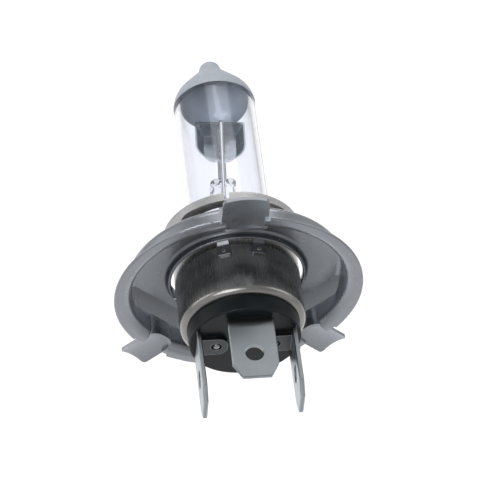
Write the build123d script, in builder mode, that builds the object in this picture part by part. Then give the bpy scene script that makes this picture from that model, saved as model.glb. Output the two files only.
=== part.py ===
"""Twin-filament halogen headlight bulb with a three-lug centring flange.

Frame: +Y runs along the bulb's axis towards the glass tip, +Z is up towards the top lug, as the bulb sits
in a headlamp, and +X is to the right for someone who looks at the contacts. The origin is on the axis, in
the reference plane that the crowns of the three lugs touch. All sizes are in millimetres.
"""

import os
from math import cos, degrees, radians, sin, tan

from build123d import *

# Flange: a pressed dish with a flat rim and three lugs
SHEET = 0.6
RIM_R = 21.5
RIM_REAR_Y = -1.6
DISH_R = 19.0
DISH_FRONT_Y = 3.6
LIP_INNER_R = 11.4
LIP_REAR_Y = 1.6
SHEET_EDGE = 0.28
RIM_BEND = 1.15
DISH_BEND = 1.0
LIP_BEND = 0.7
# Each lug's angle, its width, the corner radius of its root and the width of the slots beside it: the top one
# is the wide keying lug
LUGS = ((0, 7.8, 1.1, 0.35), (135, 6.0, 2.4, 1.2), (225, 6.0, 2.4, 1.2))
LUG_R = 25.4
LUG_CROWN = 0.6
LUG_CORNER = 0.7
LUG_ROOT_R = 17.4
NOTCH_ROOT_R = 20.5
RAMP_START = 14.0
RAMP_TOP = 16.4
RAMP_RISE = 1.6
RAMP_OVERLAP = 0.15
TAB_GROUP_ANGLES = (0, 120, 240)
TAB_SPREAD = 15.5
TAB_NECK_WIDTH = 1.9
TAB_PAD_WIDTH = 2.6
TAB_CORNER = 0.45
TAB_BEND_Y = 0.9
TAB_BEND_R = 0.4
TAB_REAR_Y = -0.9
TAB_SHEET = 0.45

# Base shell, with its rear rim curled in over the insulator's shoulder
SHELL_R = 10.8
SHELL_WALL = 0.5
SHELL_FRONT_Y = 9.0
SHELL_SHOULDER_R = 1.2
SHELL_MOUTH_R = 8.2
SHELL_REAR_Y = -8.5
CURL_R = 1.05
CURL_MOUTH_R = 9.65
INSULATOR_R = 9.6
INSULATOR_FACE_Y = -11.45
INSULATOR_INNER_Y = -6.2
INSULATOR_SEAT_R = 10.25
INSULATOR_SEAT_REAR_Y = -7.7
INSULATOR_EDGE = 0.25

# Contacts: flat blades, each with a foot on the insulator's face and two tangs in it
BLADE_WIDTH = 7.8
BLADE_THICK = 0.8
TOP_BLADE_END_Y = -23.3
SIDE_BLADE_END_Y = -24.8
BLADE_BEVEL = 0.16
BLADE_CHAMFER_ACROSS = 1.5
BLADE_CHAMFER_ALONG = 2.6
BLADE_SHOULDER_R = 0.4
BLADE_HOLE_R = 1.6
BLADE_HOLE_Y = -18.6
TANG_LENGTH = 2.4
TANG_WIDTH = 1.3
TANG_CLEARANCE = 0.02
FOOT_WIDTH = 4.4
FOOT_CORNER = 1.7
FOOT_LENGTH = 4.6
FOOT_HOLE_R = 0.95
FOOT_HOLE_FROM_BLADE = 2.7
SOLDER_DOME_R = 0.66
SOLDER_DOME_HEIGHT = 0.92
SOLDER_FILL = 0.32
SIDE_BLADE_INNER = 7.7
TOP_BLADE_INNER = 6.3
TOP_BLADE_OFFSET = 0.4

# Glass collar: a ring on three legs, with three windows between them
COLLAR_R = 12.0
COLLAR_WALL = 0.6
COLLAR_FRONT_Y = 11.6
COLLAR_MOUTH_R = 8.6
COLLAR_FOOT_GAP = 0.02
COLLAR_EDGE = 0.5
LEG_ANGLES = (60, 180, 300)
LEG_JOGGLE_Y = 5.4
LEG_JOGGLE_LENGTH = 0.8
LEG_EDGE = 0.2
LEG_REAR_Y = 4.1
WINDOW_FRONT_Y = 9.8
WINDOW_WIDTH = 19.2
WINDOW_CORNER = 1.6
TONGUE_WIDTH = 3.0
TONGUE_TIP_R = 7.35
SEAM_ANGLE = -7
SEAM_WIDTH = 0.9
SEAM_DEPTH = 2.0

# Glass
GLASS_R = 7.3
GLASS_WALL = 1.1
DOME_CORNER_Y = 41.4
DOME_CORNER_R = 5.4
DOME_SLOPE = 49
NUB_R = 2.2
NUB_TIP_R = 1.45
NUB_ROOT_CORNER = 0.9
NUB_TIP_CORNER = 1.3
TIP_Y = 49.5
TUBE_REAR_Y = 10.8
CAVITY_REAR_Y = 11.6
CAVITY_CORNER = 2.6
PINCH_FRONT_Y = 6.2
PINCH_REAR_Y = -0.8
PINCH_WIDTH = 13.4
PINCH_THICK = 3.6
PINCH_EDGE = 0.5
COATING_REAR_Y = 39.8
COATING_THICK = 0.12
COATING_GAP = 0.01

# Inner parts. The mount that carries the coils stands in an upright plane, turned a little off the axis
MOUNT_TURN = 4
MOUNT_PIVOT_Y = 27.0
WIRE_R = 0.36
WIRE_BEND = 1.2
WIRE_END_BEND = 0.5
UPPER_WIRE_Z = 2.0
PINCH_WIRE_Z = 4.3
WIRE_SPLAY_Y = (13.0, 17.5)
BRIDGE_Y = 20.6
BRIDGE_ROD_R = 1.05
BRIDGE_ROD_X = 1.22
BRIDGE_ROD_EDGE = 0.79
BRIDGE_TOP_Z = 2.6
BRIDGE_BOTTOM_Z = -4.0
COIL_WIRE_R = 0.11
COIL_PITCH = 0.42
HIGH_COIL_R = 0.66
HIGH_COIL_Y = 22.9
HIGH_COIL_TURNS = 9
LOW_COIL_R = 0.6
LOW_COIL_Y = 29.1
LOW_COIL_TURNS = 11
COIL_TAIL = 0.5
COIL_ELBOW_R = 0.132
SHIELD_REAR_Y = 27.4
SHIELD_FRONT_Y = 36.0
SHIELD_WIDTH = 9.0
SHIELD_DEPTH = 2.6
SHIELD_TAPER = 28
SHIELD_SHEET = 0.3
SHIELD_REAR_CORNER = 3.6
SHIELD_FRONT_CORNER = 0.5
SHIELD_POST_INSET = 0.5
SHIELD_POST_TOP_Z = 1.1
SHIELD_POST_BOTTOM_Z = -0.8
SHIELD_POST_WIDTH = 1.0
FOIL_THICK = 0.08
FOIL_WIDTH = 2.6
FOIL_REAR_Y = 0.4
FOIL_FRONT_Y = 4.6
OUTER_WIRE_R = 0.4
OUTER_WIRE_BEND = 0.9
OUTER_WIRE_END_Y = -12.1
OUTER_WIRE_KINKS_Y = (-1.9, -5.0)
WIRE_HOLE_R = 0.6
CLAMP_SHEET = 0.4
CLAMP_REAR_Y = -0.6
CLAMP_FRONT_Y = 4.6
CLAMP_GAP = 0.05
CLAMP_HOLE_R = 1.8
CLAMP_HOLE_SPACING = (12.6, 6.4)
WELD_R = 0.45
WELD_HEIGHT = 0.15


def direction(angle):
    """Unit vector square to the axis, at an angle from the top towards +X."""
    return Vector(sin(radians(angle)), 0, cos(radians(angle)))


def facing_rear(y, angle=0):
    """Plane across the axis at y, seen from the rear: its local +Y points outwards along angle."""
    return Plane(origin=(0, y, 0), x_dir=direction(angle + 90), z_dir=(0, -1, 0))


def half_section(angle):
    """Plane through the axis: its local +X points outwards along angle, and its local +Y is the axis."""
    return Plane(origin=(0, 0, 0), x_dir=direction(angle), z_dir=direction(angle - 90))


def side_on(angle, distance):
    """Plane square to the direction at angle: its local +X is tangential, and its local +Y is the axis."""
    outward = direction(angle)
    return Plane(origin=outward * distance, x_dir=direction(angle + 90), z_dir=outward)


def outline(corners):
    """Face in the current sketch, from (x, y, corner radius) triples."""
    with BuildLine() as edge:
        FilletPolyline(
            *[(x, y) for x, y, _ in corners],
            radius=[radius for _, _, radius in corners],
            close=True,
        )
    make_face(edge.line)


def round_wire(points, bends, radius):
    """Round wire through points, with the given bend radius at each inner point."""
    with BuildPart() as piece:
        with BuildLine() as route:
            FilletPolyline(*points, radius=bends)
        with BuildSketch(Plane(origin=route.line @ 0, z_dir=route.line % 0)):
            Circle(radius)
        sweep(path=route.line)
    return piece.part


def save(piece, name):
    """Label a finished piece and write its STEP file."""
    piece.label = name
    export_step(piece, f"parts/{name}.step")


os.makedirs("parts", exist_ok=True)


# Contacts --------------------------------------------------------------------------------------------------


def blade(angle, inner, end_y):
    """Spade contact square to the direction at angle, with its inner face at a distance from the axis."""
    half = BLADE_WIDTH / 2
    tip = half - BLADE_CHAMFER_ACROSS
    shoulder_y = end_y + BLADE_CHAMFER_ALONG
    with BuildPart() as piece:
        with BuildSketch(side_on(angle, inner)):
            outline(
                [
                    (-tip, end_y, 0),
                    (tip, end_y, 0),
                    (half, shoulder_y, BLADE_SHOULDER_R),
                    (half, INSULATOR_FACE_Y, 0),
                    (-half, INSULATOR_FACE_Y, 0),
                    (-half, shoulder_y, BLADE_SHOULDER_R),
                ]
            )
        extrude(amount=BLADE_THICK)
        broad_faces = piece.faces().sort_by(SortBy.AREA)[-2:]
        chamfer([edge for edge in broad_faces.edges() if edge.center().Y < INSULATOR_FACE_Y - 1], BLADE_BEVEL)
        with BuildSketch(side_on(angle, inner)):
            with Locations((0, BLADE_HOLE_Y)):
                Circle(BLADE_HOLE_R)
        extrude(amount=BLADE_THICK, mode=Mode.SUBTRACT)
        with BuildSketch(side_on(angle, inner)):
            tang_y = INSULATOR_FACE_Y + TANG_LENGTH / 2
            for side in (-1, 1):
                with Locations((side * (half - TANG_WIDTH / 2), tang_y)):
                    Rectangle(TANG_WIDTH, TANG_LENGTH)
        extrude(amount=BLADE_THICK)
        with BuildSketch(facing_rear(INSULATOR_FACE_Y, angle)):
            foot_end = inner - FOOT_LENGTH
            outline(
                [
                    (-FOOT_WIDTH / 2, inner + BLADE_THICK / 2, 0),
                    (FOOT_WIDTH / 2, inner + BLADE_THICK / 2, 0),
                    (FOOT_WIDTH / 2, foot_end, FOOT_CORNER),
                    (-FOOT_WIDTH / 2, foot_end, FOOT_CORNER),
                ]
            )
            with Locations((0, inner - FOOT_HOLE_FROM_BLADE)):
                Circle(FOOT_HOLE_R, mode=Mode.SUBTRACT)
        extrude(amount=BLADE_THICK)
    return piece.part


def solder_joint(angle, inner, shift, lead):
    """Solder that fills the bottom of a foot's hole and rises to a small dome round the lead's end."""
    with BuildPart() as piece:
        with BuildSketch(facing_rear(INSULATOR_FACE_Y, angle)):
            with Locations((0, inner - FOOT_HOLE_FROM_BLADE)):
                Circle(FOOT_HOLE_R)
        extrude(amount=SOLDER_FILL)
        with BuildSketch(facing_rear(INSULATOR_FACE_Y, angle)):
            with Locations((0, inner - FOOT_HOLE_FROM_BLADE)):
                Circle(SOLDER_DOME_R)
        extrude(amount=SOLDER_DOME_HEIGHT)
        fillet(piece.faces().sort_by(Axis.Y)[0].edges(), SOLDER_DOME_R * 0.6)
        add(Pos(-shift, 0, 0) * lead, mode=Mode.SUBTRACT)
    return Pos(shift, 0, 0) * piece.part


def outer_lead(angle, inner, shift, pinch_z):
    """Wire from a foil's rear end through the insulator to the hole in a blade's foot."""
    foot = direction(angle) * (inner - FOOT_HOLE_FROM_BLADE) + Vector(shift, 0, 0)
    near_y, far_y = OUTER_WIRE_KINKS_Y
    points = [
        (0, FOIL_REAR_Y, pinch_z),
        (0, near_y, pinch_z),
        (foot.X, far_y, foot.Z),
        (foot.X, OUTER_WIRE_END_Y, foot.Z),
    ]
    return round_wire(points, [OUTER_WIRE_BEND] * 2, OUTER_WIRE_R)


# The top blade feeds the low beam, the left one is common and the right one feeds the high beam. Each has an
# angle, the distance of its inner face from the axis, a shift along +X, and its end
contacts = {
    "low_beam": (0, TOP_BLADE_INNER, TOP_BLADE_OFFSET, TOP_BLADE_END_Y),
    "common": (270, SIDE_BLADE_INNER, 0, SIDE_BLADE_END_Y),
    "high_beam": (90, SIDE_BLADE_INNER, 0, SIDE_BLADE_END_Y),
}
pinch_wires = {"low_beam": PINCH_WIRE_Z, "common": -PINCH_WIRE_Z, "high_beam": 0}
outer_leads = {}
for circuit, (angle, inner, shift, end_y) in contacts.items():
    outer_leads[circuit] = outer_lead(angle, inner, shift, pinch_wires[circuit])
    save(outer_leads[circuit], f"{circuit}_outer_lead")
    save(Pos(shift, 0, 0) * blade(angle, inner, end_y), f"{circuit}_blade")
    save(solder_joint(angle, inner, shift, outer_leads[circuit]), f"{circuit}_solder_joint")

# Insulator -------------------------------------------------------------------------------------------------

with BuildPart() as insulator:
    with BuildSketch(half_section(0)):
        outline(
            [
                (0, INSULATOR_FACE_Y, 0),
                (INSULATOR_R, INSULATOR_FACE_Y, INSULATOR_EDGE),
                (INSULATOR_R, INSULATOR_SEAT_REAR_Y, 0),
                (INSULATOR_SEAT_R, INSULATOR_SEAT_REAR_Y, INSULATOR_EDGE),
                (INSULATOR_SEAT_R, INSULATOR_INNER_Y, 0),
                (0, INSULATOR_INNER_Y, 0),
            ]
        )
    revolve(axis=Axis.Y)
    slot_width = TANG_WIDTH + 2 * TANG_CLEARANCE
    slot_thick = BLADE_THICK + 2 * TANG_CLEARANCE
    for angle, inner, shift, _ in contacts.values():
        face = Plane(Pos(shift, 0, 0) * facing_rear(INSULATOR_FACE_Y, angle).location)
        with BuildSketch(face):
            for side in (-1, 1):
                with Locations((side * (BLADE_WIDTH - TANG_WIDTH) / 2, inner + BLADE_THICK / 2)):
                    Rectangle(slot_width, slot_thick)
        extrude(amount=-(TANG_LENGTH + TANG_CLEARANCE), mode=Mode.SUBTRACT)
        with BuildSketch(face):
            with Locations((0, inner - FOOT_HOLE_FROM_BLADE)):
                Circle(WIRE_HOLE_R)
        extrude(amount=INSULATOR_FACE_Y - INSULATOR_INNER_Y, mode=Mode.SUBTRACT)
save(insulator.part, "insulator")

# Base shell ------------------------------------------------------------------------------------------------

with BuildPart() as base_shell:
    with BuildSketch(half_section(0)):
        inner_r = SHELL_R - SHELL_WALL
        outline(
            [
                (SHELL_R, SHELL_REAR_Y, CURL_R),
                (SHELL_R, SHELL_FRONT_Y, SHELL_SHOULDER_R),
                (SHELL_MOUTH_R, SHELL_FRONT_Y, 0),
                (SHELL_MOUTH_R, SHELL_FRONT_Y - SHELL_WALL, 0),
                (inner_r, SHELL_FRONT_Y - SHELL_WALL, SHELL_SHOULDER_R - SHELL_WALL),
                (inner_r, SHELL_REAR_Y + SHELL_WALL, CURL_R - SHELL_WALL),
                (CURL_MOUTH_R, SHELL_REAR_Y + SHELL_WALL, 0),
                (CURL_MOUTH_R, SHELL_REAR_Y, 0),
            ]
        )
    revolve(axis=Axis.Y)
save(base_shell.part, "base_shell")

# Pinch clamp: a floor across the shell and a sleeve round the pinch ---------------------------------------

with BuildPart() as pinch_clamp:
    with BuildSketch(facing_rear(CLAMP_REAR_Y + CLAMP_SHEET)):
        Circle(SHELL_R - SHELL_WALL - CLAMP_GAP / 2)
        with GridLocations(*CLAMP_HOLE_SPACING, 2, 2):
            Circle(CLAMP_HOLE_R, mode=Mode.SUBTRACT)
    extrude(amount=CLAMP_SHEET)
    hole_thick = PINCH_THICK + 2 * CLAMP_GAP
    hole_width = PINCH_WIDTH + 2 * CLAMP_GAP
    with BuildSketch(facing_rear(CLAMP_FRONT_Y)):
        RectangleRounded(hole_thick + 2 * CLAMP_SHEET, hole_width + 2 * CLAMP_SHEET, PINCH_EDGE + CLAMP_SHEET)
    extrude(amount=CLAMP_FRONT_Y - CLAMP_REAR_Y)
    with BuildSketch(facing_rear(CLAMP_FRONT_Y)):
        RectangleRounded(hole_thick, hole_width, PINCH_EDGE)
    extrude(amount=CLAMP_FRONT_Y - CLAMP_REAR_Y, mode=Mode.SUBTRACT)
save(pinch_clamp.part, "pinch_clamp")

# Flange ring -----------------------------------------------------------------------------------------------

rim_front_y = RIM_REAR_Y + SHEET
floor_rear_y = DISH_FRONT_Y - SHEET
wall_inner_r = DISH_R - SHEET
lip_outer_r = LIP_INNER_R + SHEET


def lug_tongue(width, root_corner, inset):
    """Outline of a lug in a plane across the axis, with a rounded root inside the dish's wall."""
    half = width / 2 - inset
    root = LUG_ROOT_R + inset
    outline(
        [
            (-half, LUG_R, LUG_CORNER),
            (half, LUG_R, LUG_CORNER),
            (half, root, root_corner - inset),
            (-half, root, root_corner - inset),
        ]
    )


def lug(angle, width, root_corner):
    """Arched lug: its crown touches the reference plane and its edges stand back from it."""
    half = width / 2
    with BuildPart() as piece:
        with BuildSketch(Plane(origin=(0, 0, 0), x_dir=direction(angle + 90), z_dir=direction(angle))):
            with BuildLine():
                front = ThreePointArc((-half, -LUG_CROWN), (0, 0), (half, -LUG_CROWN))
                rear = ThreePointArc((half, -LUG_CROWN - SHEET), (0, -SHEET), (-half, -LUG_CROWN - SHEET))
                Line(front @ 1, rear @ 0)
                Line(rear @ 1, front @ 0)
            make_face()
        extrude(amount=LUG_R)
        with BuildSketch(facing_rear(DISH_FRONT_Y, angle)):
            lug_tongue(width, root_corner, 0)
        extrude(amount=DISH_FRONT_Y - RIM_REAR_Y, mode=Mode.INTERSECT)
    return piece.part


def ramp(angle, lower_by, front_y, reach):
    """Step of the floor at a lug: a slope up from a chord of the floor, then a ledge out to the wall."""
    foot_y = floor_rear_y + lower_by
    with BuildPart() as piece:
        with BuildSketch(half_section(angle)):
            outline(
                [
                    (RAMP_START, foot_y, 0),
                    (RAMP_TOP, foot_y - RAMP_RISE, 0),
                    (reach, foot_y - RAMP_RISE, 0),
                    (reach, front_y, 0),
                    (RAMP_START, front_y, 0),
                ]
            )
        extrude(amount=DISH_R, both=True)
        with BuildSketch(facing_rear(front_y)):
            Circle(reach)
        extrude(amount=front_y - RIM_REAR_Y, mode=Mode.INTERSECT)
    return piece.part


def weld_tab(angle):
    """Tab from the lip to the shell, wider at its rear end, where it is welded."""
    inner_r = SHELL_R + COLLAR_FOOT_GAP
    outer_r = inner_r + TAB_SHEET
    arc = degrees(1.2 * TAB_PAD_WIDTH / SHELL_R)
    with BuildPart() as piece:
        with BuildSketch(half_section(angle - arc / 2)):
            outline(
                [
                    (LIP_INNER_R + 0.1, LIP_REAR_Y + 1.0, 0),
                    (lip_outer_r - 0.1, LIP_REAR_Y + 0.3, 0),
                    (outer_r, TAB_BEND_Y, TAB_BEND_R + TAB_SHEET),
                    (outer_r, TAB_REAR_Y, 0.15),
                    (inner_r, TAB_REAR_Y, 0),
                    (inner_r, TAB_BEND_Y + 0.4, TAB_BEND_R),
                ]
            )
        revolve(axis=Axis.Y, revolution_arc=arc)
        with BuildSketch(side_on(angle, 0)):
            outline(
                [
                    (-TAB_PAD_WIDTH / 2, TAB_REAR_Y, TAB_CORNER),
                    (TAB_PAD_WIDTH / 2, TAB_REAR_Y, TAB_CORNER),
                    (TAB_NECK_WIDTH / 2, LIP_REAR_Y, 0),
                    (TAB_NECK_WIDTH / 2, DISH_FRONT_Y, 0),
                    (-TAB_NECK_WIDTH / 2, DISH_FRONT_Y, 0),
                    (-TAB_NECK_WIDTH / 2, LIP_REAR_Y, 0),
                ]
            )
        extrude(amount=RIM_R, mode=Mode.INTERSECT)
    return piece.part


with BuildPart() as flange_ring:
    with BuildSketch(half_section(0)):
        outline(
            [
                (RIM_R, RIM_REAR_Y, SHEET_EDGE),
                (wall_inner_r, RIM_REAR_Y, RIM_BEND + SHEET),
                (wall_inner_r, floor_rear_y, DISH_BEND),
                (lip_outer_r, floor_rear_y, LIP_BEND),
                (lip_outer_r, LIP_REAR_Y, SHEET_EDGE),
                (LIP_INNER_R, LIP_REAR_Y, SHEET_EDGE),
                (LIP_INNER_R, DISH_FRONT_Y, LIP_BEND + SHEET),
                (DISH_R, DISH_FRONT_Y, DISH_BEND + SHEET),
                (DISH_R, rim_front_y, RIM_BEND),
                (RIM_R, rim_front_y, SHEET_EDGE),
            ]
        )
    revolve(axis=Axis.Y)
    for angle, width, root_corner, slot in LUGS:
        # The floor's step, pressed so that its front follows its rear one sheet deeper
        add(ramp(angle, 0, floor_rear_y + SHEET / 10, wall_inner_r + RAMP_OVERLAP))
        add(ramp(angle, SHEET, DISH_FRONT_Y + SHEET, wall_inner_r), mode=Mode.SUBTRACT)
        # A gap in the rim for the lug and its two relief notches
        with BuildSketch(facing_rear(rim_front_y + 0.01, angle)):
            with Locations((0, (NOTCH_ROOT_R + LUG_R) / 2)):
                Rectangle(width + 2 * slot, LUG_R - NOTCH_ROOT_R)
            with Locations((0, (LUG_ROOT_R + LUG_R) / 2)):
                Rectangle(width - 2 * SHEET, LUG_R - LUG_ROOT_R)
        extrude(amount=2 * SHEET, mode=Mode.SUBTRACT)
        # The hollow boss that carries the lug within the dish's wall, open to the rear and to the front
        with BuildSketch(facing_rear(floor_rear_y, angle)):
            lug_tongue(width, root_corner, 0)
            Circle(DISH_R, mode=Mode.INTERSECT)
        extrude(amount=floor_rear_y - RIM_REAR_Y - SHEET)
        with BuildSketch(facing_rear(DISH_FRONT_Y, angle)):
            lug_tongue(width, root_corner, SHEET)
        extrude(amount=DISH_FRONT_Y - RIM_REAR_Y, mode=Mode.SUBTRACT)
        add(lug(angle, width, root_corner))
    for group in TAB_GROUP_ANGLES:
        for side in (-TAB_SPREAD, TAB_SPREAD):
            add(weld_tab(group + side))
save(flange_ring.part, "flange_ring")


def spot_welds(places, radius):
    """Low round weld marks on a cylinder, at (angle, y) places."""
    with BuildPart() as piece:
        for angle, y in places:
            with BuildSketch(side_on(angle, radius - WELD_HEIGHT)):
                with Locations((0, y)):
                    Circle(WELD_R)
            extrude(amount=2 * WELD_HEIGHT)
        flats = piece.faces().filter_by(GeomType.PLANE)
        fronts = [face for face in flats if face.normal_at().dot(face.center()) > 0]
        fillet([front.edges()[0] for front in fronts], WELD_HEIGHT * 0.8)
        with BuildSketch(facing_rear(SHELL_FRONT_Y)):
            Circle(radius)
        extrude(amount=SHELL_FRONT_Y - SHELL_REAR_Y, mode=Mode.SUBTRACT)
    return piece.part


tab_weld_y = (TAB_REAR_Y + TAB_BEND_Y) / 2
tab_welds = [(group + side, tab_weld_y) for group in TAB_GROUP_ANGLES for side in (-TAB_SPREAD, TAB_SPREAD)]
save(spot_welds(tab_welds, SHELL_R + COLLAR_FOOT_GAP + TAB_SHEET), "flange_welds")

# Glass collar ----------------------------------------------------------------------------------------------

collar_inner_r = COLLAR_R - COLLAR_WALL
foot_inner_r = SHELL_R + COLLAR_FOOT_GAP
foot_outer_r = foot_inner_r + COLLAR_WALL
foot_top_y = LEG_JOGGLE_Y - LEG_EDGE
with BuildPart() as glass_collar:
    with BuildSketch(half_section(0)):
        outline(
            [
                (COLLAR_R, COLLAR_FRONT_Y, COLLAR_EDGE),
                (COLLAR_MOUTH_R, COLLAR_FRONT_Y, 0),
                (COLLAR_MOUTH_R, COLLAR_FRONT_Y - COLLAR_WALL, 0),
                (collar_inner_r, COLLAR_FRONT_Y - COLLAR_WALL, 0),
                (collar_inner_r, LEG_JOGGLE_Y + LEG_JOGGLE_LENGTH, 0),
                (foot_inner_r, LEG_JOGGLE_Y, 0),
                (foot_inner_r, LEG_REAR_Y, 0),
                (foot_outer_r, LEG_REAR_Y, LEG_EDGE),
                (foot_outer_r, foot_top_y, 0),
                (COLLAR_R, foot_top_y + LEG_JOGGLE_LENGTH, 0),
            ]
        )
    revolve(axis=Axis.Y)
    for leg_angle in LEG_ANGLES:
        with BuildSketch(side_on(leg_angle + 60, 0)):
            half = WINDOW_WIDTH / 2
            outline(
                [
                    (-half, WINDOW_FRONT_Y, WINDOW_CORNER),
                    (half, WINDOW_FRONT_Y, WINDOW_CORNER),
                    (half, LEG_REAR_Y - 1, 0),
                    (-half, LEG_REAR_Y - 1, 0),
                ]
            )
        extrude(amount=COLLAR_R + 1, mode=Mode.SUBTRACT)
    with BuildSketch(side_on(SEAM_ANGLE, COLLAR_R - SEAM_DEPTH)):
        with Locations((0, COLLAR_FRONT_Y)):
            Rectangle(SEAM_WIDTH, 2 * (COLLAR_FRONT_Y - LEG_JOGGLE_Y))
    extrude(amount=2 * SEAM_DEPTH, mode=Mode.SUBTRACT)
    for angle in (0, 90, 180, 270):
        with BuildSketch(facing_rear(COLLAR_FRONT_Y, angle)):
            with Locations((0, (TONGUE_TIP_R + COLLAR_MOUTH_R + 1) / 2)):
                Rectangle(TONGUE_WIDTH, COLLAR_MOUTH_R + 1 - TONGUE_TIP_R)
        extrude(amount=COLLAR_WALL)
    with BuildSketch(facing_rear(COLLAR_FRONT_Y)):
        Circle(TONGUE_TIP_R)
    extrude(amount=COLLAR_WALL, mode=Mode.SUBTRACT)
save(glass_collar.part, "glass_collar")

collar_weld_y = (LEG_REAR_Y + foot_top_y) / 2
save(spot_welds([(angle, collar_weld_y) for angle in LEG_ANGLES], foot_outer_r), "collar_welds")

# Inner leads -----------------------------------------------------------------------------------------------

high_coil_top_z = HIGH_COIL_R
low_coil_top_z = LOW_COIL_R
lower_wire_z = -(SHIELD_DEPTH + WIRE_R + 0.01)
splay_rear_y, splay_front_y = WIRE_SPLAY_Y
low_coil_front_y = LOW_COIL_Y + LOW_COIL_TURNS * COIL_PITCH
high_coil_front_y = HIGH_COIL_Y + HIGH_COIL_TURNS * COIL_PITCH
upper_turn_y = low_coil_front_y + COIL_TAIL + WIRE_R
mount_turn = Pos(0, MOUNT_PIVOT_Y, 0) * Rot(0, 0, -MOUNT_TURN) * Pos(0, -MOUNT_PIVOT_Y, 0)


def on_mount(y, z):
    """Point of the mount's plane, for a place along the axis and a height."""
    return (mount_turn * Pos(0, y, z)).position


low_beam_lead = round_wire(
    [
        (0, FOIL_FRONT_Y, PINCH_WIRE_Z),
        (0, splay_rear_y, PINCH_WIRE_Z),
        on_mount(splay_front_y, UPPER_WIRE_Z),
        on_mount(upper_turn_y, UPPER_WIRE_Z),
        on_mount(upper_turn_y, low_coil_top_z - WIRE_R),
    ],
    [WIRE_BEND, WIRE_BEND, WIRE_END_BEND],
    WIRE_R,
)
high_beam_lead = round_wire(
    [
        (0, FOIL_FRONT_Y, 0),
        (0, splay_rear_y, 0),
        on_mount(splay_front_y, high_coil_top_z),
        on_mount(HIGH_COIL_Y - COIL_TAIL, high_coil_top_z),
    ],
    [WIRE_BEND, WIRE_BEND],
    WIRE_R,
)
common_lead = round_wire(
    [
        (0, FOIL_FRONT_Y, -PINCH_WIRE_Z),
        (0, splay_rear_y, -PINCH_WIRE_Z),
        on_mount(splay_front_y, lower_wire_z),
        on_mount((SHIELD_REAR_Y + SHIELD_FRONT_Y) / 2, lower_wire_z),
    ],
    [WIRE_BEND, WIRE_BEND],
    WIRE_R,
)
inner_leads = {"low_beam": low_beam_lead, "high_beam": high_beam_lead, "common": common_lead}
for circuit, lead in inner_leads.items():
    save(lead, f"{circuit}_inner_lead")

# Filaments: coils whose turns start and end at the top, with a straight tail at each end -------------------


def filament(coil_r, rear_y, turns, rear_tail, front_tail):
    """Coil along the axis, with a tail from its top at each end."""
    length = turns * COIL_PITCH
    with BuildPart() as piece:
        with BuildLine(Plane.XY) as turn_line:
            Helix(COIL_PITCH, length, coil_r, center=(0, 0, 0), direction=(0, 0, 1))
        start = turn_line.line @ 0
        with BuildSketch(Plane(origin=start, z_dir=turn_line.line % 0)):
            Circle(COIL_WIRE_R)
        sweep(path=turn_line.line, is_frenet=True)
        for elbow_z, tail in ((0, -rear_tail), (length, front_tail)):
            with Locations((start.X, start.Y, elbow_z)):
                Sphere(COIL_ELBOW_R)
            with BuildSketch(Plane.XY.offset(elbow_z)):
                with Locations((start.X, start.Y)):
                    Circle(COIL_WIRE_R)
            extrude(amount=tail)
    # The coil is wound about +Z from +X, then laid along the axis with that side up
    along_axis = Plane(origin=(0, rear_y, 0), x_dir=(0, 0, 1), z_dir=(0, 1, 0))
    return mount_turn * along_axis.location * piece.part


# The coils' ends that meet are welded to the two sides of a post on the shield
shield_post_y = SHIELD_REAR_Y + SHIELD_POST_INSET
high_tail = shield_post_y - high_coil_front_y
low_tail = LOW_COIL_Y - shield_post_y - SHIELD_SHEET
high_beam_filament = filament(HIGH_COIL_R, HIGH_COIL_Y, HIGH_COIL_TURNS, COIL_TAIL, high_tail)
low_beam_filament = filament(LOW_COIL_R, LOW_COIL_Y, LOW_COIL_TURNS, low_tail, COIL_TAIL)
save(high_beam_filament, "high_beam_filament")
save(low_beam_filament, "low_beam_filament")

# Beam shield: a cup that opens upwards, with a post on its rear wall for the coils' common ends -----------


def shield_cup(inset, top_z, bottom_z):
    """Solid cup with leaning walls, inset from the shield's outer surface."""
    half = SHIELD_WIDTH / 2 - inset
    with BuildPart() as piece:
        with BuildSketch(Plane.XY.offset(top_z)):
            outline(
                [
                    (-half, SHIELD_FRONT_Y - inset, SHIELD_FRONT_CORNER),
                    (half, SHIELD_FRONT_Y - inset, SHIELD_FRONT_CORNER),
                    (half, SHIELD_REAR_Y + inset, SHIELD_REAR_CORNER - inset),
                    (-half, SHIELD_REAR_Y + inset, SHIELD_REAR_CORNER - inset),
                ]
            )
        extrude(amount=bottom_z - top_z, taper=SHIELD_TAPER)
    return piece.part


with BuildPart() as beam_shield:
    add(shield_cup(0, 0, -SHIELD_DEPTH))
    add(shield_cup(SHIELD_SHEET, 0, -SHIELD_DEPTH + SHIELD_SHEET), mode=Mode.SUBTRACT)
    with BuildSketch(Plane.XZ.offset(-shield_post_y)):
        with Locations((0, (SHIELD_POST_TOP_Z + SHIELD_POST_BOTTOM_Z) / 2)):
            Rectangle(SHIELD_POST_WIDTH, SHIELD_POST_TOP_Z - SHIELD_POST_BOTTOM_Z)
    extrude(amount=-SHIELD_SHEET)
save(mount_turn * beam_shield.part, "beam_shield")

# Glass bridge: two rods fused on both sides of the inner leads --------------------------------------------

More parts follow.
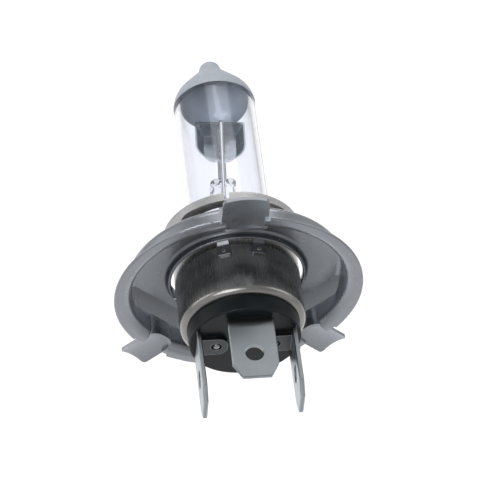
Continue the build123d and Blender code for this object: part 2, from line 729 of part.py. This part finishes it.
bridge_x = on_mount(BRIDGE_Y, 0).X
with BuildPart() as glass_bridge:
    with BuildSketch(Plane.XY.offset(BRIDGE_BOTTOM_Z)):
        with Locations((bridge_x - BRIDGE_ROD_X, BRIDGE_Y), (bridge_x + BRIDGE_ROD_X, BRIDGE_Y)):
            Circle(BRIDGE_ROD_R)
    extrude(amount=BRIDGE_TOP_Z - BRIDGE_BOTTOM_Z)
    fillet(glass_bridge.edges().filter_by(GeomType.CIRCLE), BRIDGE_ROD_EDGE)
    web_bottom_z = BRIDGE_BOTTOM_Z + BRIDGE_ROD_R
    with BuildSketch(Plane.XY.offset(web_bottom_z)):
        with Locations((bridge_x, BRIDGE_Y)):
            Rectangle(BRIDGE_ROD_X, BRIDGE_ROD_R)
    extrude(amount=BRIDGE_TOP_Z - BRIDGE_ROD_R - web_bottom_z)
    for lead in inner_leads.values():
        add(lead, mode=Mode.SUBTRACT)
save(glass_bridge.part, "glass_bridge")

# Seal foils ------------------------------------------------------------------------------------------------

with BuildPart() as seal_foils:
    with BuildSketch(facing_rear(FOIL_FRONT_Y)):
        with GridLocations(0, PINCH_WIRE_Z, 1, 3):
            Rectangle(FOIL_THICK, FOIL_WIDTH)
    extrude(amount=FOIL_FRONT_Y - FOIL_REAR_Y)
save(seal_foils.part, "seal_foils")

# Glass envelope and its painted tip ------------------------------------------------------------------------


def dome_section(grow, rear_y):
    """Half section of the domed end with its exhaust tip, grown outwards from the glass surface."""
    nub_root_y = DOME_CORNER_Y + (GLASS_R - NUB_R) * tan(radians(DOME_SLOPE))
    outline(
        [
            (0, rear_y - 1, 0),
            (GLASS_R, rear_y - 1, 0),
            (GLASS_R, DOME_CORNER_Y, DOME_CORNER_R),
            (NUB_R, nub_root_y, NUB_ROOT_CORNER),
            (NUB_TIP_R, TIP_Y, NUB_TIP_CORNER),
            (0, TIP_Y, 0),
        ]
    )
    if grow > 0:
        offset(amount=grow)
    height = TIP_Y + 1 - rear_y
    with Locations((GLASS_R, rear_y + height / 2)):
        Rectangle(2 * GLASS_R, height, mode=Mode.INTERSECT)


def cavity_section():
    """Half section of the glass cavity, one wall inside the dome."""
    slope = radians(DOME_SLOPE)
    inner_r = GLASS_R - GLASS_WALL
    corner_y = DOME_CORNER_Y + GLASS_WALL * tan(slope) - GLASS_WALL / cos(slope)
    top_y = corner_y + (inner_r - NUB_TIP_R / 2) * tan(slope)
    outline(
        [
            (0, CAVITY_REAR_Y, 0),
            (inner_r, CAVITY_REAR_Y, CAVITY_CORNER),
            (inner_r, corner_y, DOME_CORNER_R - GLASS_WALL),
            (NUB_TIP_R / 2, top_y, NUB_TIP_R / 2),
            (0, top_y, 0),
        ]
    )


with BuildPart() as glass_envelope:
    with BuildSketch(Plane.XY):
        dome_section(0, TUBE_REAR_Y)
        with BuildSketch(Plane.XY, mode=Mode.SUBTRACT):
            cavity_section()
    revolve(axis=Axis.Y)
    with BuildSketch(facing_rear(TUBE_REAR_Y)):
        Circle(GLASS_R)
    with BuildSketch(facing_rear(PINCH_FRONT_Y)):
        RectangleRounded(PINCH_THICK, PINCH_WIDTH, PINCH_EDGE)
    loft()
    with BuildSketch(facing_rear(PINCH_FRONT_Y)):
        RectangleRounded(PINCH_THICK, PINCH_WIDTH, PINCH_EDGE)
    extrude(amount=PINCH_FRONT_Y - PINCH_REAR_Y)
    add(seal_foils.part, mode=Mode.SUBTRACT)
    for lead in (*inner_leads.values(), *outer_leads.values()):
        add(lead, mode=Mode.SUBTRACT)
save(glass_envelope.part, "glass_envelope")

with BuildPart() as tip_coating:
    with BuildSketch(Plane.XY):
        dome_section(COATING_THICK, COATING_REAR_Y)
        with BuildSketch(Plane.XY, mode=Mode.SUBTRACT):
            dome_section(COATING_GAP, COATING_REAR_Y - 1)
    revolve(axis=Axis.Y)
save(tip_coating.part, "tip_coating")
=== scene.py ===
"""Looks of the headlight bulb: the materials of its glass, wires, cap and contacts, and a soft studio.

All lengths are in metres, in the row's frame: +Y along the bulb's axis towards the glass tip, +Z up.
"""

from math import cos, pi, radians, sin

import bpy
from mathutils import Matrix, Vector


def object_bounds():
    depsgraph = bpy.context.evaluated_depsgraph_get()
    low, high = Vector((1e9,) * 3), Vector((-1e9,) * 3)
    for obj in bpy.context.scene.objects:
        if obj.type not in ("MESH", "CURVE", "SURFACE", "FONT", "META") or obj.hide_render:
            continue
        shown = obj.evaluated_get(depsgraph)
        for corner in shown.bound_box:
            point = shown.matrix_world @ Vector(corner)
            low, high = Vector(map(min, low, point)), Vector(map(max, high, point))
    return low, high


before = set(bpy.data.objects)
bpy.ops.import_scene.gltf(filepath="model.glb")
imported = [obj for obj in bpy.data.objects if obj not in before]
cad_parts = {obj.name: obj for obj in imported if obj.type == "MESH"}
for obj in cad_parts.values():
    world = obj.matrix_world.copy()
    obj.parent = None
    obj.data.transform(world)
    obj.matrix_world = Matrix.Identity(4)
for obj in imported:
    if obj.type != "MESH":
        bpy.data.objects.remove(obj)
cad_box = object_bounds()

MM = 0.001
MICRON = 1e-6

# Camera: its viewing angles about the middle of the dish's front, its distance from there, and how far to the
# right of that point and above it the line of sight passes
VIEW_CENTRE = Vector((0, 3.6 * MM, 0))
VIEW_AZIMUTH = -10.23
VIEW_ELEVATION = 53.32
VIEW_ROLL = 5.08
VIEW_DISTANCE = 500 * MM
VIEW_SHIFT = (0.45 * MM, 5.13 * MM)
LENS_MM = 217.5
SENSOR_MM = 36
CLIP_NEAR = 0.01
CLIP_FAR = 20

# Studio: a wide floor below the bulb, the spot on it that the backdrop light shines on, and the height on the
# sky's unit sphere where the horizon's light has given way to the light from overhead
FLOOR_DROP = 0.45
FLOOR_SIZE = 6.0
BACKDROP_SPOT = (0.06, 0.45)
SKY_BLEND_HEIGHT = 0.7

# Materials: the range that nearly all values of a noise lie in, how closely the normals beside an edge and on
# it agree with the rounded ones, and how much brighter a worn edge is, with the painted highlight along it
NOISE_RANGE = (0.3, 0.7)
BESIDE_EDGE = 0.98
ON_EDGE = 0.8
EDGE_SAMPLES = 4
EDGE_ROUNDING = 0.08 * MM
WORN_HIGHLIGHT_EDGE = 0.2 * MM
WORN_HIGHLIGHT_GAIN = 1.5
WORN_HIGHLIGHT_LIMIT = 0.85
LINE_ROUGHNESS = 0.04
CLOUDS_PER_METRE = 220

# Where along the flange's radius its painted shade begins and is full, and where along the contacts' length
# their darker feet begin and are full
UNSHADED_FLANGE_R = 19.5 * MM
FULL_SHADE_FLANGE_R = 11.0 * MM
BLADE_DARKENING_START_Y = -13.5 * MM
DARK_FOOT_Y = -12.2 * MM

# A face of the paint is on its inner side where its normal times its place across the axis is down to this
INSIDE_OF_PAINT = -0.2 * MM

# Quartz, and the share of a lamp's light that passes through it
QUARTZ_IOR = 1.46
QUARTZ_CLARITY = (0.93, 0.95, 0.98)


class Shader:
    """A material with a Principled surface, and short calls that add nodes in front of it."""

    def __init__(self, name, colour, metallic=0.0, roughness=0.5):
        self.material = bpy.data.materials.new(name)
        self.material.use_nodes = True
        self.tree = self.material.node_tree
        self.surface = self.tree.nodes["Principled BSDF"]
        self.surface.inputs["Base Color"].default_value = (*colour, 1)
        self.surface.inputs["Metallic"].default_value = metallic
        self.surface.inputs["Roughness"].default_value = roughness
        self.place = self.tree.nodes.new("ShaderNodeTexCoord").outputs["Object"]

    def feed(self, socket, value):
        """Link an output to a socket, or set a plain value on it."""
        if isinstance(value, bpy.types.NodeSocket):
            self.tree.links.new(value, socket)
        else:
            socket.default_value = value

    def set(self, name, value):
        self.feed(self.surface.inputs[name], value)

    def maths(self, operation, a, b):
        node = self.tree.nodes.new("ShaderNodeMath")
        node.operation = operation
        self.feed(node.inputs[0], a)
        self.feed(node.inputs[1], b)
        return node.outputs[0]

    def vector(self, operation, *values):
        node = self.tree.nodes.new("ShaderNodeVectorMath")
        node.operation = operation
        for socket, value in zip(node.inputs, values):
            self.feed(socket, value)
        return node.outputs["Value" if operation in ("DOT_PRODUCT", "LENGTH") else "Vector"]

    def across(self):
        """The place across the bulb's axis, with nothing along it."""
        return self.vector("MULTIPLY", self.place, (1, 0, 1))

    def noise(self, per_metre, detail=3.0, rough=0.55):
        """Noise with this many features a metre, given as one number or as one each for x, y and z."""
        scale = per_metre if isinstance(per_metre, tuple) else (per_metre,) * 3
        node = self.tree.nodes.new("ShaderNodeTexNoise")
        self.feed(node.inputs["Vector"], self.vector("MULTIPLY", self.place, scale))
        node.inputs["Scale"].default_value = 1.0
        node.inputs["Detail"].default_value = detail
        node.inputs["Roughness"].default_value = rough
        return node.outputs["Fac"]

    def between(self, value, low, high, to_low=0.0, to_high=1.0):
        """value mapped from low..high to to_low..to_high, and clamped there."""
        node = self.tree.nodes.new("ShaderNodeMapRange")
        self.feed(node.inputs["Value"], value)
        for name, number in (("From Min", low), ("From Max", high), ("To Min", to_low), ("To Max", to_high)):
            node.inputs[name].default_value = number
        return node.outputs["Result"]

    def blend(self, share, first, second):
        """Colour that goes from first to second as share goes from 0 to 1."""
        node = self.tree.nodes.new("ShaderNodeMix")
        node.data_type = "RGBA"
        self.feed(node.inputs[0], share)
        colour_inputs = [s for s in node.inputs if s.type == "RGBA"]
        for socket, colour in zip(colour_inputs, (first, second)):
            self.feed(socket, (*colour, 1) if isinstance(colour, tuple) else colour)
        return next(s for s in node.outputs if s.type == "RGBA")

    def normals(self):
        return self.tree.nodes.new("ShaderNodeNewGeometry").outputs["Normal"]

    def rounded_normals(self, radius):
        """Normals as if each edge were rounded by the radius."""
        bevel = self.tree.nodes.new("ShaderNodeBevel")
        bevel.samples = EDGE_SAMPLES
        bevel.inputs["Radius"].default_value = radius
        return bevel.outputs["Normal"]

    def edges(self, radius):
        """1 along sharp edges, 0 on faces."""
        agreement = self.vector("DOT_PRODUCT", self.rounded_normals(radius), self.normals())
        return self.between(agreement, BESIDE_EDGE, ON_EDGE)

    def bump(self, height, depth, rounding=0.0):
        """Bump from a height of 0 to 1, depth metres deep, over edges rounded by a small radius."""
        node = self.tree.nodes.new("ShaderNodeBump")
        node.inputs["Strength"].default_value = 1.0
        node.inputs["Distance"].default_value = depth
        self.feed(node.inputs["Height"], height)
        if rounding:
            self.feed(node.inputs["Normal"], self.rounded_normals(rounding))
        self.set("Normal", node.outputs["Normal"])


# Materials -------------------------------------------------------------------------------------------------


def metal(name, colour, roughness, texture, depth, mottling=0.1, wear_and_highlight=0.6, shading=None, dark=0.5):
    """Satin metal with a fine texture, slow mottling and brighter edges that stand for wear and carry a
    painted highlight, and a darker part if given, which on the flange is painted shade.
    """
    shader = Shader(name, colour, metallic=1.0)
    streaks = texture(shader)
    clouds = shader.noise(CLOUDS_PER_METRE)
    shade = tuple(channel * (1 - mottling) for channel in colour)
    body = shader.blend(shader.between(clouds, *NOISE_RANGE), shade, colour)
    body = shader.blend(shader.between(streaks, 0.35, 0.75, 0, mottling * 2), body, shade)
    # Darker part: painted shade on the flange's dish, a plain darker tone on the contacts' feet
    if shading:
        body = shader.blend(shading(shader), body, tuple(channel * dark for channel in colour))
    # Brighter edges: wear, and a painted highlight along them
    if wear_and_highlight:
        worn = tuple(min(WORN_HIGHLIGHT_LIMIT, channel * WORN_HIGHLIGHT_GAIN) for channel in colour)
        rubbed_and_highlit = shader.between(clouds, 0.35, 0.6, wear_and_highlight / 2, wear_and_highlight)
        body = shader.blend(shader.maths("MULTIPLY", shader.edges(WORN_HIGHLIGHT_EDGE), rubbed_and_highlit), body, worn)
    shader.set("Base Color", body)
    along_lines = shader.between(streaks, *NOISE_RANGE, -LINE_ROUGHNESS, LINE_ROUGHNESS)
    in_clouds = shader.between(clouds, *NOISE_RANGE, -mottling / 4, mottling / 4)
    rough = shader.maths("ADD", along_lines, roughness)
    shader.set("Roughness", shader.maths("ADD", rough, in_clouds))
    shader.bump(streaks, depth, rounding=EDGE_ROUNDING if wear_and_highlight else 0.0)
    return shader.material


def drawn_lines(per_metre):
    """Fine lines along the bulb's axis, each 40 times as long as it is wide."""
    return lambda shader: shader.noise((per_metre, per_metre / 40, per_metre), detail=4, rough=0.65)


def even_grain(per_metre):
    return lambda shader: shader.noise(per_metre)


def painted_shade_towards_shell(shader):
    """Painted shade: 1 deep in the flange's dish and on the weld tabs by the shell, and 0 on its rim and
    lugs.
    """
    return shader.between(shader.vector("LENGTH", shader.across()), UNSHADED_FLANGE_R, FULL_SHADE_FLANGE_R)


def darker_feet(shader):
    """1 on the feet of the contacts, and 0 further out on the blades."""
    return shader.between(shader.vector("DOT_PRODUCT", shader.place, (0, 1, 0)), BLADE_DARKENING_START_Y, DARK_FOOT_Y)


def lets_lamps_through(shader):
    """Let light pass straight through the surface on its way to what the glass encloses."""
    nodes = shader.tree.nodes
    mix = nodes.new("ShaderNodeMixShader")
    clear = nodes.new("ShaderNodeBsdfTransparent")
    clear.inputs["Color"].default_value = (*QUARTZ_CLARITY, 1)
    path = nodes.new("ShaderNodeLightPath")
    shader.feed(mix.inputs[0], path.outputs["Is Shadow Ray"])
    shader.feed(mix.inputs[1], shader.surface.outputs[0])
    shader.feed(mix.inputs[2], clear.outputs[0])
    output = next(node for node in nodes if node.type == "OUTPUT_MATERIAL")
    shader.feed(output.inputs["Surface"], mix.outputs[0])


def quartz(name, tint, waviness):
    """Clear quartz glass with a faint tint and slightly wavy drawn walls."""
    shader = Shader(name, tint, roughness=0.0)
    shader.set("IOR", QUARTZ_IOR)
    shader.set("Transmission Weight", 1.0)
    waves = shader.noise((160, 45, 160), detail=2)
    shader.bump(waves, waviness)
    lets_lamps_through(shader)
    return shader.material


def tip_paint():
    """Satin anti-glare paint, which shows a grey metallic film where it lies on the glass."""
    shader = Shader("tip_paint", (0.57, 0.62, 0.69), roughness=0.4)
    thick, common, thin = (0.53, 0.58, 0.66), (0.62, 0.67, 0.74), (0.68, 0.72, 0.78)
    film, film_metal = (0.62, 0.67, 0.72), 0.3
    outward = shader.vector("DOT_PRODUCT", shader.normals(), shader.across())
    inside = shader.between(outward, 0.0, INSIDE_OF_PAINT)
    speckle = shader.noise(2600)
    runs = shader.noise((420, 180, 420), detail=4)
    paint = shader.blend(shader.between(speckle, 0.35, 0.7), thick, common)
    paint = shader.blend(shader.between(runs, 0.45, 0.8, 0, 0.5), paint, thin)
    shader.set("Base Color", shader.blend(inside, paint, film))
    shader.set("Metallic", shader.maths("MULTIPLY", inside, film_metal))
    shader.set("Roughness", shader.between(speckle, *NOISE_RANGE, 0.40, 0.50))
    shader.bump(speckle, 2 * MICRON)
    return shader.material


def black_moulding():
    """Dark thermoset moulding with a fine moulded grain and dusty, rubbed edges that also carry a painted
    highlight.
    """
    shader = Shader("black_moulding", (0.010, 0.015, 0.020), roughness=0.34)
    dark, light, rubbed_and_highlit = (0.004, 0.007, 0.009), (0.009, 0.015, 0.018), (0.03, 0.042, 0.048)
    grain = shader.noise(3200, detail=4)
    clouds = shader.noise(260, detail=4)
    body = shader.blend(shader.between(clouds, *NOISE_RANGE), dark, light)
    # Lighter edges: rubbing, and a painted highlight along them
    shader.set("Base Color", shader.blend(shader.edges(0.15 * MM), body, rubbed_and_highlit))
    shader.set("Roughness", shader.between(clouds, *NOISE_RANGE, 0.28, 0.42))
    shader.set("Specular IOR Level", 0.35)
    shader.bump(grain, 9 * MICRON, rounding=0.1 * MM)
    return shader.material


def collar_steel():
    """Light matte steel with a coarse, grainy surface."""
    shader = Shader("collar_steel", (0.62, 0.62, 0.61), metallic=1.0)
    dull, bright, worn = (0.56, 0.56, 0.57), (0.76, 0.76, 0.77), (0.82, 0.82, 0.83)
    grain = shader.noise(2400, detail=4, rough=0.7)
    blotches = shader.noise(300)
    body = shader.blend(shader.between(grain, 0.35, 0.65), dull, bright)
    body = shader.blend(shader.between(blotches, 0.35, 0.7, 0, 0.4), body, dull)
    shader.set("Base Color", shader.blend(shader.edges(0.12 * MM), body, worn))
    shader.set("Roughness", shader.between(grain, *NOISE_RANGE, 0.38, 0.55))
    shader.bump(grain, 16 * MICRON, rounding=EDGE_ROUNDING)
    return shader.material


def solder():
    """Bright solder with a frosted, slightly lumpy skin."""
    shader = Shader("solder", (0.40, 0.41, 0.42), metallic=1.0)
    dull, bright = (0.30, 0.31, 0.32), (0.48, 0.49, 0.50)
    lumps = shader.noise(900)
    frost = shader.noise(6000, detail=2)
    shader.set("Base Color", shader.blend(shader.between(frost, 0.35, 0.65), dull, bright))
    shader.set("Roughness", shader.between(frost, *NOISE_RANGE, 0.2, 0.4))
    shader.bump(lumps, 60 * MICRON)
    return shader.material


def weld_mark():
    """Spot weld: bare bright centre with a heat-browned skin."""
    shader = Shader("weld_mark", (0.40, 0.39, 0.38), metallic=1.0)
    browned, bare = (0.24, 0.20, 0.17), (0.52, 0.50, 0.49)
    skin = shader.noise(2500, detail=4)
    shader.set("Base Color", shader.blend(shader.between(skin, 0.35, 0.65), browned, bare))
    shader.set("Roughness", shader.between(skin, *NOISE_RANGE, 0.28, 0.5))
    shader.bump(skin, 25 * MICRON)
    return shader.material


node_materials = {
    "glass_envelope": quartz("clear_glass", (0.945, 0.96, 1.0), 4 * MICRON),
    "glass_bridge": quartz("bridge_glass", (0.97, 0.98, 1.0), 12 * MICRON),
    "tip_coating": tip_paint(),
    "beam_shield": metal(
        "shield_molybdenum", (0.48, 0.52, 0.56), 0.30, even_grain(900), 0.5 * MICRON, mottling=0.03,
    ),
    "glass_collar": collar_steel(),
    "base_shell": metal("shell_steel", (0.44, 0.43, 0.415), 0.26, drawn_lines(4000), 0.4 * MICRON),
    # The flange's dish and weld tabs get painted shade, darker towards the shell
    "flange_ring": metal(
        "flange_steel", (0.45, 0.475, 0.515), 0.30, even_grain(700), 0.5 * MICRON, mottling=0.05, wear_and_highlight=0,
        shading=painted_shade_towards_shell,
    ),
    "pinch_clamp": metal("spring_steel", (0.52, 0.50, 0.47), 0.32, even_grain(1800), 4 * MICRON),
    "insulator": black_moulding(),
    "seal_foils": metal("foil_molybdenum", (0.38, 0.39, 0.41), 0.35, drawn_lines(6000), 3 * MICRON),
}
coil = metal("coil_tungsten", (0.55, 0.55, 0.56), 0.25, even_grain(5000), 1 * MICRON)
inner_wire = metal(
    "wire_molybdenum", (0.70, 0.71, 0.73), 0.13, drawn_lines(9000), 0.5 * MICRON, mottling=0.03,
)
outer_wire = metal("wire_nickel", (0.60, 0.58, 0.54), 0.30, drawn_lines(9000), 3 * MICRON)
blade = metal(
    "tinned_blade", (0.46, 0.50, 0.525), 0.33, drawn_lines(7000), 2 * MICRON, wear_and_highlight=0.9,
    shading=darker_feet, dark=0.2,
)
joint = solder()
weld = weld_mark()
for circuit in ("low_beam", "common", "high_beam"):
    node_materials[f"{circuit}_inner_lead"] = inner_wire
    node_materials[f"{circuit}_outer_lead"] = outer_wire
    node_materials[f"{circuit}_blade"] = blade
    node_materials[f"{circuit}_solder_joint"] = joint
for beam in ("low_beam", "high_beam"):
    node_materials[f"{beam}_filament"] = coil
for sheet in ("collar", "flange"):
    node_materials[f"{sheet}_welds"] = weld

for name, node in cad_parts.items():
    node.data.materials.clear()
    node.data.materials.append(node_materials[name])


# Studio ----------------------------------------------------------------------------------------------------


def pale_floor(height):
    """Wide pale floor at a height."""
    half = FLOOR_SIZE / 2
    mesh = bpy.data.meshes.new("floor")
    corners = [(x, y, height) for x, y in ((-half, -half), (half, -half), (half, half), (-half, half))]
    mesh.from_pydata(corners, [], [(0, 1, 2, 3)])
    floor = bpy.data.objects.new("floor", mesh)
    bpy.context.scene.collection.objects.link(floor)
    shader = Shader("floor_paper", (0.93, 0.93, 0.93), roughness=0.9)
    grain = shader.noise(400, detail=2)
    shader.set("Base Color", shader.blend(grain, (0.92, 0.92, 0.925), (0.95, 0.95, 0.95)))
    mesh.materials.append(shader.material)


def softbox(name, towards, distance, size, radiance, target):
    """Rectangular area light of an even radiance that faces the target from a direction."""
    light = bpy.data.lights.new(name, "AREA")
    light.shape = "RECTANGLE"
    light.size, light.size_y = size
    light.energy = radiance * pi * size[0] * size[1]
    lamp = bpy.data.objects.new(name, light)
    away = Vector(towards).normalized()
    facing = away.to_track_quat("Z", "Y").to_matrix().to_4x4()
    lamp.matrix_world = Matrix.Translation(target + away * distance) @ facing
    bpy.context.scene.collection.objects.link(lamp)


def world_light(horizon, overhead):
    """Soft surround with one strength at the horizon and below it, and another overhead."""
    world = bpy.data.worlds.new("studio")
    world.use_nodes = True
    tree = world.node_tree
    background = tree.nodes["Background"]
    place = tree.nodes.new("ShaderNodeTexCoord").outputs["Generated"]
    split = tree.nodes.new("ShaderNodeSeparateXYZ")
    tree.links.new(place, split.inputs[0])
    ramp = tree.nodes.new("ShaderNodeMapRange")
    ramp.interpolation_type = "SMOOTHSTEP"
    tree.links.new(split.outputs["Z"], ramp.inputs["Value"])
    ramp.inputs["From Min"].default_value = 0.0
    ramp.inputs["From Max"].default_value = SKY_BLEND_HEIGHT
    ramp.inputs["To Min"].default_value = horizon
    ramp.inputs["To Max"].default_value = overhead
    tree.links.new(ramp.outputs["Result"], background.inputs["Strength"])
    background.inputs["Color"].default_value = (1.0, 1.0, 1.0, 1)
    bpy.context.scene.world = world


def camera_like_viewer():
    """Camera at the viewing angles above."""
    azimuth, elevation, roll = (radians(a) for a in (VIEW_AZIMUTH, VIEW_ELEVATION, VIEW_ROLL))
    back = Vector((sin(azimuth) * cos(elevation), -cos(azimuth) * cos(elevation), sin(elevation)))
    level = Vector((cos(azimuth), sin(azimuth), 0))
    steep = back.cross(level)
    right = level * cos(roll) + steep * sin(roll)
    up = steep * cos(roll) - level * sin(roll)
    place = VIEW_CENTRE + right * VIEW_SHIFT[0] + up * VIEW_SHIFT[1] + back * VIEW_DISTANCE
    data = bpy.data.cameras.new("camera")
    data.lens = LENS_MM
    data.sensor_width = SENSOR_MM
    data.clip_start = CLIP_NEAR
    data.clip_end = CLIP_FAR
    camera = bpy.data.objects.new("camera", data)
    camera.matrix_world = Matrix.Translation(place) @ Matrix((right, up, back)).transposed().to_4x4()
    bpy.context.scene.collection.objects.link(camera)
    bpy.context.scene.camera = camera


lowest, highest = cad_box
middle = (lowest + highest) / 2
floor_height = lowest.z - FLOOR_DROP
pale_floor(floor_height)
softbox("key", towards=(-0.5, -0.55, 1.0), distance=1.2, size=(0.9, 0.7), radiance=2.0, target=middle)
softbox("rim", towards=(1.0, 0.25, 0.5), distance=1.3, size=(0.5, 0.9), radiance=0.7, target=middle)
softbox("side", towards=(-1.0, 0.4, 0.3), distance=1.2, size=(0.4, 0.9), radiance=1.1, target=middle)
softbox("tip_light", towards=(0.1, 1.0, 0.7), distance=1.3, size=(1.2, 0.9), radiance=1.3, target=middle)
backdrop = Vector((*BACKDROP_SPOT, floor_height))
softbox("backdrop_light", towards=(0, 0, 1), distance=0.33, size=(1.0, 1.0), radiance=0.8, target=backdrop)
world_light(horizon=0.5, overhead=0.3)
camera_like_viewer()
bpy.context.scene.view_settings.view_transform = "Standard"
